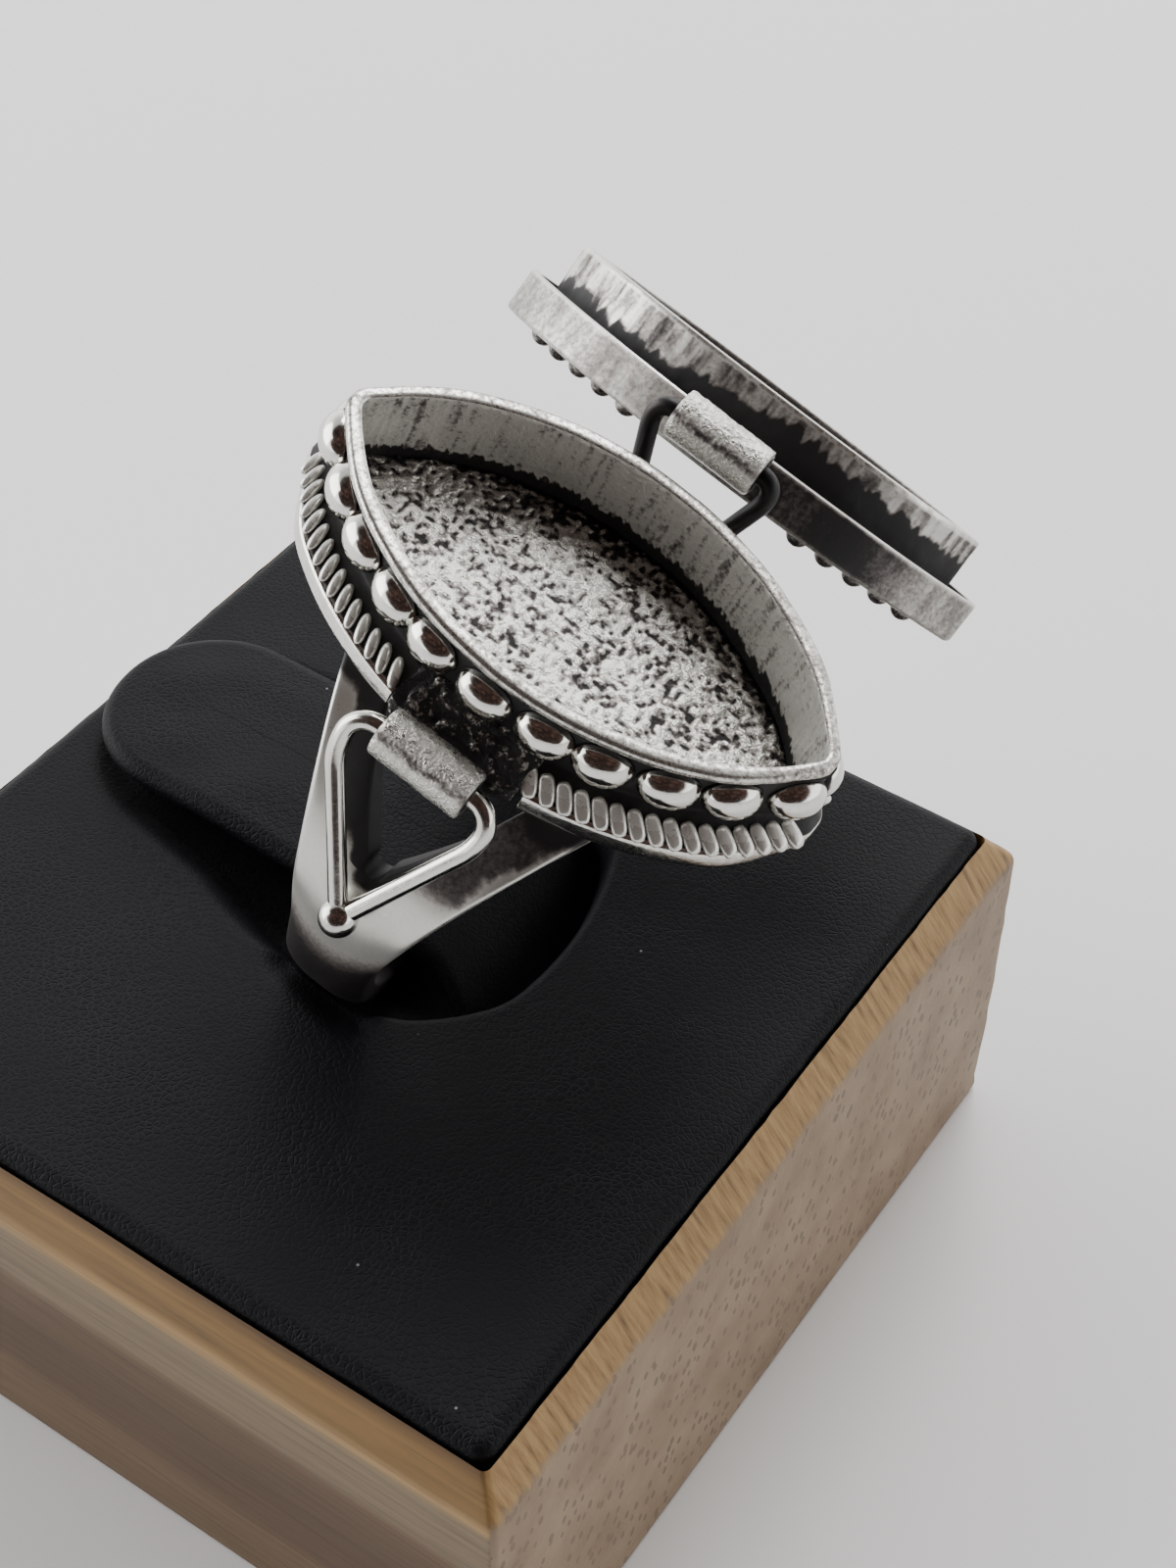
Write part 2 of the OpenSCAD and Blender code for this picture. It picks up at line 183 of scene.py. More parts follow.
def lathe(profile, middle, count):
    """A closed profile of (distance along x, radius) turned once about the x axis."""
    angle = np.linspace(0, TAU, count, endpoint=False)[:, None]
    along, radius = profile[None, :, 0] + 0 * angle, profile[None, :, 1]
    points = np.stack([along, radius * np.cos(angle), radius * np.sin(angle)], -1)
    return grid(points + middle, 0.0, (True, True))


def wire(path, side):
    """A tube along a flat path: at each point a circle spanned by the path's flat normal,
    side, and the direction square to both it and the path. Its ends shrink to a point."""
    count = 20
    along = np.gradient(path, axis=0)
    along /= np.linalg.norm(along, axis=1)[:, None]
    across = np.cross(along, side)
    angle = np.linspace(0, TAU, count, endpoint=False)
    ring = np.cos(angle)[None, :, None] * across[:, None] + np.sin(angle)[None, :, None] * side
    body = path[:, None] + WIRE_R * ring
    ends = [np.repeat(path[i][None, None], count, 1) for i in (0, -1)]
    return grid(np.concatenate([ends[0], body, ends[1]]), 0.0, (False, True))


def eased(values):
    """A mean of each value and its neighbours round the loop, to ease the corners."""
    weights = np.hanning(15)[1:-1]
    return sum(w * np.roll(values, k - 6, 0) for k, w in enumerate(weights)) / weights.sum()


def marquise(u, off, scale=1.0):
    """The box's outline moved out by off, for u from 0 to 1 once round from the left tip.
    Each side is an arc centred across the box, each blunt tip an arc round its middle, and
    the far half is the near half turned half a turn. Near the tips the foot flares a third
    as far as elsewhere. Scale draws the outline in to the middle."""
    u, off = np.broadcast_arrays(u[:, None], np.asarray(off, float)[None, :])
    half = u % 0.5
    at_end = np.where(off > 0, 0.33, 1) * off
    r_end, tip = ARC_R + at_end, TIP_R + at_end
    r = ARC_R + off + (at_end - off) * smooth(0.7, 1.0, np.abs(half / (SIDE_U / 2) - 1))
    corner_y = np.minimum((tip**2 + ARC_C**2 - r_end**2) / (2 * ARC_C), 0)
    corner_x = np.sqrt(r_end**2 - (ARC_C - corner_y) ** 2)
    swing = np.arcsin(corner_x / r_end) * (half / (SIDE_U / 2) - 1)
    x, y = r * np.sin(swing), ARC_C - r * np.cos(swing)
    turned = np.arctan2(corner_y, corner_x) * (1 - np.clip((half - SIDE_U) / TIP_U, 0, 2))
    far = np.hypot(corner_x, corner_y)
    at_tip = half > SIDE_U
    x, y = np.where(at_tip, far * np.cos(turned), x), np.where(at_tip, far * np.sin(turned), y)
    sign = np.where(u % 1 < 0.5, 1, -1)
    return eased(x * sign) * scale, eased(y * sign) * scale


def stations(per_side=330):
    """Values of u: evenly along each side, and a few round each tip."""
    half = np.concatenate([np.linspace(0, SIDE_U, per_side), np.linspace(0.4625, 0.4975, 15)])
    return np.concatenate([half, half + 0.5])


def u_of(run):
    """The value of u on the near side at a run in millimetres from its middle."""
    full = np.arcsin(ARC_END / ARC_R)
    return SIDE_U / 2 * (run / ARC_R / full + 1)


def swept(u, profile, tarnish_and_shade, nudge):
    """The outline carried along a profile of (off, z, scale), one row for each u, and then
    changed by nudge."""
    x, y = marquise(u, profile[:, 0], profile[None, :, 2])
    z = np.broadcast_to(profile[:, 1], x.shape)
    return grid(nudge(np.stack([x, y, z], -1)), tarnish_and_shade, (True, False))


def dense(profile, step=0.25):
    """The same profile with extra points where its legs are longer than step."""
    rows = [np.asarray(profile[0], float)]
    for here in np.asarray(profile[1:], float):
        last = rows[-1]
        parts = max(1, int(np.ceil(np.hypot(*(here - last)[:2]) / step)))
        if last[2] != here[2]:
            parts = 6
        rows += [last + (here - last) * k / parts for k in range(1, parts + 1)]
    return np.array(rows)


# Materials
def colour(code):
    """An sRGB hex value as linear red, green, blue and alpha."""
    part = np.array([int(code[i:i + 2], 16) for i in (1, 3, 5)]) / 255
    linear = np.where(part <= 0.04045, part / 12.92, ((part + 0.055) / 1.055) ** 2.4)
    return (*linear, 1)


def add(tree, kind, inputs=None, **settings):
    """Adds a node: settings are its own properties, inputs its sockets by name or number,
    each a value or the socket of another node to link from."""
    made = tree.nodes.new("ShaderNode" + kind)
    for key, value in settings.items():
        setattr(made, key, value)
    for key, value in (inputs or {}).items():
        if isinstance(value, bpy.types.NodeSocket):
            tree.links.new(value, made.inputs[key])
        else:
            made.inputs[key].default_value = value
    return made


def material(name):
    """A new node material, with its tree, its shader and its Object coordinates."""
    made = bpy.data.materials.new(name)
    made.use_nodes = True
    tree = made.node_tree
    return made, tree, tree.nodes["Principled BSDF"], add(tree, "TexCoord").outputs["Object"]


def ramp(tree, factor, *stops):
    """A colour ramp from (place, hex colour) stops."""
    made = add(tree, "ValToRGB", {"Fac": factor})
    band = made.color_ramp
    while len(band.elements) < len(stops):
        band.elements.new(0.5)
    for element, (place, code) in zip(band.elements, stops):
        element.position, element.color = place, colour(code)
    return made.outputs["Color"]


def per(size_mm):
    """The noise scale whose features are that many millimetres apart."""
    return 1 / (size_mm * MM)


def noise(tree, place, size_mm, detail=2.0, roughness=0.5):
    """A noise texture's value, its features that many millimetres apart."""
    return add(tree, "TexNoise", {"Vector": place, "Scale": per(size_mm), "Detail": detail,
                                  "Roughness": roughness}).outputs["Fac"]


def stretched(tree, place, scale):
    """The place scaled along each axis, to draw a texture out along some of them."""
    return add(tree, "Mapping", {0: place, "Scale": scale}).outputs[0]


def maths(tree, operation, *values, clamp=False):
    """A Math node."""
    inputs = dict(enumerate(values))
    return add(tree, "Math", inputs, operation=operation, use_clamp=clamp).outputs[0]


def mix(tree, share, one, other, blend="MIX"):
    """Two colours mixed by a share, or the one multiplied by the other."""
    return add(tree, "MixRGB", {0: share, 1: one, 2: other}, blend_type=blend).outputs[0]


def relief(tree, shader, height, depth_mm, strength=1.0):
    """Bumps on the shader's surface, of that depth where the height goes from 0 to 1."""
    made = add(tree, "Bump", {"Height": height, "Distance": depth_mm * MM, "Strength": strength})
    tree.links.new(made.outputs["Normal"], shader.inputs["Normal"])


def silver(name, grain_mm, grain_depth, shine, spread=0.35, dull=0.0):
    """Cast sterling silver, dipped black and rubbed back: the black sulphide stays where the
    tarnish attribute is over a half, with a ragged edge, and the raised metal is bright. In a few
    pieces the same attribute also holds painted shade and painted reflection, drawn dark in the
    same way.
    Grain_mm and grain_depth size its pits, shine is its least roughness, spread how far
    noise moves the tarnish, and dull how much of its mirror fine scratches have taken."""
    made, tree, shader, place = material(name)
    dark = add(tree, "Attribute", attribute_name="tarnish_and_shade").outputs["Fac"]
    patch, speck = noise(tree, place, 1.4, 4.0, 0.6), noise(tree, place, 0.2, 3.0, 0.65)
    ragged = maths(tree, "MULTIPLY_ADD", patch, spread, -spread / 2)
    fine = maths(tree, "MULTIPLY_ADD", speck, spread * 2.2, -spread * 1.1)
    level = maths(tree, "ADD", maths(tree, "ADD", dark, ragged), fine, clamp=True)
    tone = ramp(tree, level, (0.0, "#dddcd6"), (0.3, "#c9c7c1"), (0.43, "#918c87"),
                (0.55, "#5a5553"), (0.66, "#272322"), (0.8, "#100e0e"))
    tree.links.new(tone, shader.inputs["Base Color"])
    tree.links.new(maths(tree, "MULTIPLY_ADD", level, 0.4, shine), shader.inputs["Roughness"])
    mirror = maths(tree, "SUBTRACT", 1.25 - dull, level, clamp=True)
    tree.links.new(mirror, shader.inputs["Metallic"])
    relief(tree, shader, noise(tree, place, grain_mm, 3.0, 0.6), grain_depth)
    return made


# Name, grain's size and depth in mm, shine, spread, dull
cast_silver = silver("oxidised cast silver", 0.35, 0.014, 0.16, 0.4)
worn_silver = silver("polished worn silver", 0.9, 0.010, 0.12, 0.24)
tube_silver = silver("granular cast silver tube", 0.14, 0.09, 0.2, 0.3, 0.25)
rough_silver = silver("granular cast silver", 0.13, 0.07, 0.14, 0.55)
satin_silver = silver("satin worn silver", 0.5, 0.006, 0.24, 0.12, 0.35)
lid_silver = silver("softly worn cast silver", 0.4, 0.01, 0.24, 0.16, 0.35)
rope_silver = silver("dull worn silver", 0.4, 0.012, 0.25, 0.3, 0.6)
wire_silver = silver("drawn silver wire", 0.5, 0.006, 0.1, 0.12)
wall_silver = silver("streaked cast silver", 0.2, 0.05, 0.28, 0.45, 0.5)
solder = silver("blackened hard solder", 0.16, 0.08, 0.2, 0.9)


def leather():
    """Black leatherette: a pebble grain of Voronoi cells about a quarter millimetre wide
    with sunken creases between them, finer noise on top, and a few specks of dust."""
    made, tree, shader, place = material("black embossed leatherette")
    bend = add(tree, "TexNoise", {"Vector": place, "Scale": per(0.9)}).outputs["Color"]
    shift = add(tree, "VectorMath", {0: bend, "Scale": 0.25 * MM}, operation="SCALE").outputs[0]
    moved = add(tree, "VectorMath", {0: place, 1: shift}, operation="ADD").outputs[0]
    cells = add(tree, "TexVoronoi", {"Vector": moved, "Scale": per(0.3)},
                feature="DISTANCE_TO_EDGE")
    pebble = maths(tree, "SMOOTH_MIN", cells.outputs["Distance"], 0.16, 0.1)
    fine, worn = noise(tree, place, 0.09, 3.0), noise(tree, place, 5.0)
    height = maths(tree, "MULTIPLY_ADD", pebble, worn, maths(tree, "MULTIPLY", fine, 0.05))
    relief(tree, shader, height, 0.22, 0.8)
    dust = add(tree, "TexVoronoi", {"Vector": place, "Scale": per(2.6)}).outputs["Distance"]
    level = maths(tree, "MULTIPLY_ADD", worn, 0.5, 0.1)
    base = ramp(tree, level, (0.0, "#06070a"), (1.0, "#111216"))
    speck = maths(tree, "LESS_THAN", dust, 0.022)
    tree.links.new(mix(tree, speck, base, colour("#77777c")), shader.inputs["Base Color"])
    shader.inputs["Roughness"].default_value = 0.56
    shader.inputs["Specular IOR Level"].default_value = 0.12
    return made


def bamboo():
    """Laminated bamboo, sawn and sanded, with its fibres along x. Flat strips of different
    brown lie one on the other, so their colour follows the height. Where the face looks
    along x the fibres show their ends: small dark dots, and short strokes on the chamfer."""
    made, tree, shader, place = material("laminated bamboo, sawn and sanded")
    faces = add(tree, "SeparateXYZ", {0: tree.nodes["Texture Coordinate"].outputs["Normal"]})
    along = maths(tree, "ABSOLUTE", faces.outputs["X"])
    at_end = maths(tree, "MULTIPLY_ADD", along, 5.0, -1.6, clamp=True)
    along_fibres = stretched(tree, place, (0.035, 1, 1))
    wander = maths(tree, "MULTIPLY_ADD", noise(tree, along_fibres, 2.5), 0.14, -0.07)
    height = add(tree, "SeparateXYZ", {0: place}).outputs["Z"]
    level = maths(tree, "MULTIPLY_ADD", height, 1 / (BLOCK_H * MM), wander)
    strips = ramp(tree, level, (0.0, "#7c6850"), (0.22, "#78634d"), (0.27, "#66513d"),
                  (0.45, "#5f4b38"), (0.64, "#6c5742"), (0.68, "#857662"), (0.86, "#8c7c66"),
                  (0.895, "#b8986a"), (0.925, "#8e7145"), (0.96, "#99794a"), (1.0, "#6f5432"))
    fibre = noise(tree, along_fibres, 0.28, 5.0, 0.65)
    line = ramp(tree, fibre, (0.3, "#9f9f9f"), (0.5, "#e6e6e6"), (0.7, "#ffffff"))
    long_face = mix(tree, 0.6, strips, line, "MULTIPLY")

    ends_seen = {"Vector": stretched(tree, place, (1, 1, 0.6)), "Scale": per(0.55)}
    dots = add(tree, "TexVoronoi", ends_seen).outputs["Distance"]
    cloudy = noise(tree, place, 3.0, 4.0)
    dot = maths(tree, "MULTIPLY", maths(tree, "LESS_THAN", dots, 0.3), cloudy)
    ground = ramp(tree, cloudy, (0.3, "#84705b"), (0.5, "#917d68"), (0.7, "#9c8a75"))
    end_face = mix(tree, dot, ground, colour("#57483a"))
    stroke = noise(tree, stretched(tree, place, (0.12, 1, 0.12)), 0.3, 4.0, 0.6)
    sanded = ramp(tree, stroke, (0.3, "#6a522e"), (0.43, "#957546"), (0.6, "#ad8e5e"))
    # the chamfer starts at 17.2 mm up, with an edge 0.4 mm soft that the strokes fray
    upper = maths(tree, "MULTIPLY_ADD", stroke, 0.9 * MM, height)
    slanted = maths(tree, "MULTIPLY_ADD", upper, 1 / (0.4 * MM), -17.2 / 0.4, clamp=True)
    whole = mix(tree, at_end, long_face, mix(tree, slanted, end_face, sanded))
    toned = mix(tree, 1.0, whole, colour("#ebe5da"), "MULTIPLY")
    tree.links.new(toned, shader.inputs["Base Color"])
    shader.inputs["Roughness"].default_value = 0.6
    relief(tree, shader, fibre, 0.05, 0.6)
    return made


# The box. The rows of CUP, INSIDE and LID say how far out from the outline the surface is,
# how high, and the share of the outline that it is drawn at: 0 closes it in the middle
CHANNEL = 0.45
CUT_LOW, CUT_HIGH = -3.0, 2.85
CUP = dense([
    (-0.64, -3.9, 0), (-0.64, -3.9, 1), (-0.64, -0.1, 1), (-0.66, -0.05, 1), (-0.57, 0.0, 1),
    (-0.18, 0.0, 1), (-0.07, -0.04, 1), (0.0, -0.14, 1), (0.0, -0.36, 1), (-0.05, -0.43, 1),
    (-0.36, -0.50, 1), (-CHANNEL, -0.60, 1), (-CHANNEL, -3.02, 1), (-0.38, -3.14, 1),
    (0.30, -3.44, 1), (0.80, -3.64, 1), (1.03, -3.71, 1), (1.10, -3.77, 1), (1.13, -3.92, 1),
    (1.15, -4.24, 1), (1.14, -4.52, 1), (1.06, -4.65, 1), (0.9, -4.7, 1), (0.0, -4.7, 1),
    (0.0, -4.7, 0)])
INSIDE = dense([
    (-0.80, -3.62, 0), (-0.80, -3.62, 1), (-0.76, -3.3, 1), (-0.70, -0.15, 1), (-0.66, -0.05, 1),
    (-0.61, -0.08, 1), (-0.61, -3.7, 1), (-0.61, -3.7, 0)], 0.12)


def cup(profile):
    """The box or its inside: a profile swept round the outline, cut back where the front
    tube sits. At the ends of the cut the stations are doubled, so that it ends sharply.
    The strip round the mouth and the wall inside are drawn in at the tips."""
    u = stations()
    edges = np.array([u_of(run + gap) for run in (CUT_LOW, CUT_HIGH) for gap in (-0.02, 0.02)])
    u = np.sort(np.concatenate([u, edges]))
    off, z = profile[:, 0], profile[:, 1]
    dark = np.select(
        [z > -0.05, (off > -0.1) & (z > -0.45), (off < -0.63) & (z > -3.7),
         (z < -0.4) & (z > -3.06), (z < -3.06) & (off < 0.9) & (z > -3.8), off > 0.6],
        [0.36, 0.30, 0.22, 1.0, 1.0, 0.08], 0.4)
    dark = np.repeat(dark[None], len(u), 0)
    inner = (off < -0.63) & (z < -0.1)
    place = np.stack([u[:, None] * 60 + 0 * z, 0 * u[:, None] + z * 0.3, 0 * dark], -1)
    streak, fringe = cloud(place, 0.3, 3), cloud(place * [1, 0.2, 1], 0.17, 4)
    foot_line = smooth(0, 0.16, -2.95 - 0.24 * fringe - 0.08 * streak - z)
    dark = np.where(inner[None], dark + 0.16 * streak + 0.2 * fringe + 0.8 * foot_line, dark)

    def nudge(points):
        x, y = points[..., 0], points[..., 1]
        in_cut = (u > edges[1] - 1e-9) & (u < edges[2] + 1e-9)
        # the last seven rows close the bottom
        foot_rows = (off > -0.3) & (np.arange(len(off)) < len(off) - 7)
        cut = in_cut[:, None] & foot_rows[None] & (y < -5.6) & (points[..., 2] < -3.0)
        points[..., 1] = np.where(cut, -np.sqrt(ARC_R**2 - x**2) + ARC_C - 0.12, y)
        inset = np.where(off < -0.5, 0.3, 0.45) * ((off < -0.5) | (z > -0.5))
        points[..., 0] -= inset * (smooth(8.5, 11.8, x) - 0.65 * smooth(8.5, 11.8, -x))
        wave = 0.035 * cloud(points, 1.6, 5) + 0.015 * cloud(points, 0.5, 6)
        lean = points[..., :2] / np.linalg.norm(points[..., :2], axis=-1, keepdims=True).clip(1e-6)
        points[..., :2] += lean * (wave * (np.abs(off) < 0.95))[..., None] * 0.8
        return points

    return swept(u, profile, dark, nudge)


def box_floor():
    """The floor inside: lines across the box from wall to wall, raised and sunk by two
    sizes of noise like coarse grains, and dipping at the wall's foot."""
    x = np.linspace(-1, 1, 300)[:, None] * (np.sqrt((ARC_R - 0.76) ** 2 - ARC_C**2) - 0.02)
    across = np.linspace(-1, 1, 150)[None, :]
    half = np.sqrt((ARC_R - 0.75) ** 2 - x**2) - ARC_C
    y = across * np.maximum(half, 0)
    flat = np.stack([x + 0 * y, y, 0 * y], -1)
    edge = smooth(0, 0.5, half - np.abs(y))
    grain = cloud(flat, 0.2, 11)
    height = FLOOR_Z + 0.05 * grain + 0.02 * cloud(flat, 0.5, 12) + 0.05 * cloud(flat, 2.2, 13)
    height = height - 0.1 * (1 - edge)
    # painted shade: a band darker along the far wall, where that wall keeps off the light from
    # behind; the rest of this darkening is tarnish in the grain and at the wall's foot
    band = 1 - smooth(0.7, 1.7, half - y + 0.4 * cloud(flat, 1.1, 15))
    darkening = 0.24 - 0.55 * grain + 0.15 * cloud(flat, 1.2, 14) + 0.8 * (1 - edge) + 0.25 * band
    return grid(np.stack([x + 0 * y, y, height], -1), darkening)


def on_arc(run, rho, side):
    """The place, and the directions along, outwards and up, at a run on the near side
    (side 1) or the mirrored far side (side -1), rho from that side's centre."""
    sin, cos = np.sin(run / ARC_R), np.cos(run / ARC_R)
    place = np.array([rho * sin, side * (ARC_C - rho * cos), 0])
    return place, np.array([cos, side * sin, 0]), np.array([sin, -side * cos, 0])


BEAD_RUNS = (-13.28, -10.7, -8.21, -5.53, -3.12, -0.34, 2.41, 4.89, 7.61, 10.23, 13.0)


def beads():
    """The domed beads in the channel: ellipsoids, each a little different, whose inner part
    is cut flat so that it ends within the wall."""
    made = []
    pick = np.random.default_rng(21)
    for side in (1, -1):
        for run in BEAD_RUNS:
            place, along, out = on_arc(run, ARC_R - CHANNEL - 0.12, side)
            radii = np.array([1.27, 1.0, 1.0]) * pick.uniform(0.97, 1.02, 3)
            place[2] = -1.84 + pick.uniform(-0.04, 0.04)
            axes = np.array([along, out, [0, 0, 1]])
            shape = ball(place, radii, axes, 26, 44, 0.95)
            shift = (shape[0] - place) @ out
            shape[0][:] += (np.maximum(shift, -0.1) - shift)[:, None] * out
            shape[0][:] += 0.02 * cloud(shape[0], 0.9, 22)[:, None] * out
            made.append((shape[0], shape[1], 0.9 - 0.86 * smooth(0.08, 0.24, shift)))
    return made


def rope():
    """The rope row: slanted pads that nearly touch, lying on the slope above the foot and
    running out into it. To the left they are slimmer and lean more, as they came out of the
    mould. Round the two solder plates there are none."""
    made = []
    for side, skip_low, skip_high in ((1, -3.0, 2.3), (-1, -2.6, 2.6)):
        for k in range(-ROPE_LAST, ROPE_LAST + 1):
            run = ROPE_PITCH * k
            if skip_low < run < skip_high:
                continue
            fade = 0.35 * smooth(10.2, 13.8, abs(run))
            place, along, out = on_arc(run, ARC_R + 0.54 - fade, side)
            place[2] = -3.53
            up = np.array([0, 0, 1.0])
            down = 0.90 * out - 0.43 * up
            proud = 0.43 * out + 0.90 * up
            slant = np.radians(26 + 12 * smooth(0, -6, run))
            long = np.cos(slant) * down + np.sin(slant) * along * side
            wide = np.cross(proud, long)
            fat = smooth(-4, 4, run)
            radii = np.array([0.66, 0.25 + 0.08 * fat, 0.24])
            shape = ball(place, radii, np.array([long, wide, proud]), 16, 24, 0.9 - 0.22 * fat)
            raised, lower = (shape[0] - place) @ proud, (shape[0] - place) @ down
            dark = 0.95 - 0.8 * smooth(0.0, 0.12, raised) - 0.6 * smooth(0.0, 0.4, lower)
            made.append((shape[0], shape[1], dark))
    return made


def crumb(low, high, depth, seed, tarnish_and_shade=0.66, fall=0.0):
    """A rough lump of solder: a boxy superellipsoid pushed in and out by noise. Its top
    falls by that share towards the outside, -y."""
    low, high = np.array(low, float), np.array(high, float)
    middle = (low + high) / 2
    points, quads, dark = ball(middle, (high - low) / 2, None, 72, 110, 0.3, tarnish_and_shade)
    way = (points - middle) / np.linalg.norm(points - middle, axis=1)[:, None]
    points[:, 2] = np.minimum(points[:, 2], high[2] + fall * (points[:, 1] - high[1]))
    fine = cloud(points, 0.28, seed + 1)
    push = depth * (0.5 * cloud(points, 0.8, seed) + 0.5 * fine - 0.5)
    dark = dark - 0.45 * fine + 0.2 * cloud(points, 0.15, seed + 2)
    return points + way * push[:, None], quads, dark


def tube(middle, rolled=0):
    """A short thick tube, its ends eased: granular on its upper back, with a dark band along
    its upper front that is a painted reflection. Rolled is the turn that brings it into the ring's
    frame."""
    half, bore = TUBE_L / 2, WIRE_R + 0.05
    profile = dense([
        (-half, bore, 1), (half, bore, 1), (half, TUBE_R - 0.16, 1),
        (half - 0.05, TUBE_R - 0.05, 1), (half - 0.18, TUBE_R, 1), (0.18 - half, TUBE_R, 1),
        (0.05 - half, TUBE_R - 0.05, 1), (-half, TUBE_R - 0.16, 1),
        (-half, bore + 0.05, 1)], 0.08)[:, :2]
    points, quads, _ = lathe(profile, middle, 110)
    spin = points - middle
    radius = np.hypot(spin[:, 1], spin[:, 2])
    rim = radius > TUBE_R - 0.2
    up = spin @ turn("X", rolled).T @ [0, 0.8, 0.6] / TUBE_R + 0.1 * cloud(points, 0.4, 34)
    upper = smooth(0.0, 0.25, up)
    pits = cloud(points, 0.17, 31) * (0.006 + 0.034 * upper) + cloud(points, 0.9, 32) * 0.02 - 0.04
    spin[:, 1:] *= (1 + np.where(rim, pits, 0) / radius)[:, None]
    # painted reflection: the dark band where the tube faces up and towards the camera, standing in
    # for the dark opening it mirrors
    band = np.exp(-((up + 0.28) / 0.22) ** 2)
    dark = 0.12 + 0.42 * band + 0.08 * cloud(points, 0.4, 33) - 3.5 * (pits + 0.03) * upper
    return spin + middle, quads, np.where(radius < TUBE_R - 0.3, 0.95, dark)


def leg(bend, curve, aim_x, aim, depth):
    """One leg of a wire in the x-z plane: out of the tube's end, a quarter bend down, a
    curve that turns in, then straight towards (aim_x, -aim) down to depth."""
    out = TUBE_L / 2 + 0.1
    middle_x = out + bend - curve
    dx, dz = aim_x - middle_x, aim - bend
    lean = np.arctan2(dz, dx) - np.arccos(curve / np.hypot(dx, dz))
    quarter = np.linspace(np.pi / 2, 0, 14)
    turn_in = np.linspace(0, -lean, 14)[1:]
    knee = np.array([middle_x + curve * np.cos(lean), -bend - curve * np.sin(lean)])
    length = (depth + knee[1]) / np.cos(lean)
    run = np.linspace(0, length, int(length / 0.06))[1:, None]
    flat = np.vstack([
        np.stack([out + bend * np.cos(quarter), -bend + bend * np.sin(quarter)], 1),
        np.stack([middle_x + curve * np.cos(turn_in), -bend + curve * np.sin(turn_in)], 1),
        knee + run * np.array([-np.sin(lean), -np.cos(lean)])])
    return np.stack([flat[:, 0], 0 * flat[:, 0], flat[:, 1]], 1)


def with_pin(start_x, points):
    """The wire's end in the tube, from start_x to the leg's first point, then the leg."""
    start = np.stack([np.linspace(start_x, points[0, 0], 8)[:-1], np.zeros(7), np.zeros(7)], 1)
    return np.vstack([start, points])


def link():
    """The wire link of the hinge: one leg up, through the lid's tube, and the other down."""
    one = leg(0.65, 2.0, 0, 10, 4.5)
    path = np.vstack([one[::-1] * [-1, 1, 1], one])
    path = path @ turn("X", LINK_LEAN).T + HINGE
    side = turn("X", LINK_LEAN) @ np.array([0, 1.0, 0])
    points, quads, _ = wire(path, side)
    return points, quads, 0.78 + 0.2 * cloud(points, 0.8, 41)


def clasp_wires():
    """The clasp: two legs from the tube that meet at a ball, in the clasp's own plane."""
    made = []
    for s in (-1, 1):
        one = with_pin(TUBE_L / 2 - 1.1, leg(1.07, 3.0, s * 0.5, CLASP_L, CLASP_L))
        one = one * [s, 1, 1]
        points, quads, _ = wire(one, np.array([0, 1.0, 0]))
        made.append((points, quads, 0.14 + 0.12 * cloud(points, 0.9, 43)))
    points, quads, _ = ball(np.array([0.5, 0, -CLASP_L]), np.full(3, BALL_R), None, 40, 64)
    return made + [(points, quads, 0.12 + 0.15 * cloud(points, 0.8, 44))]


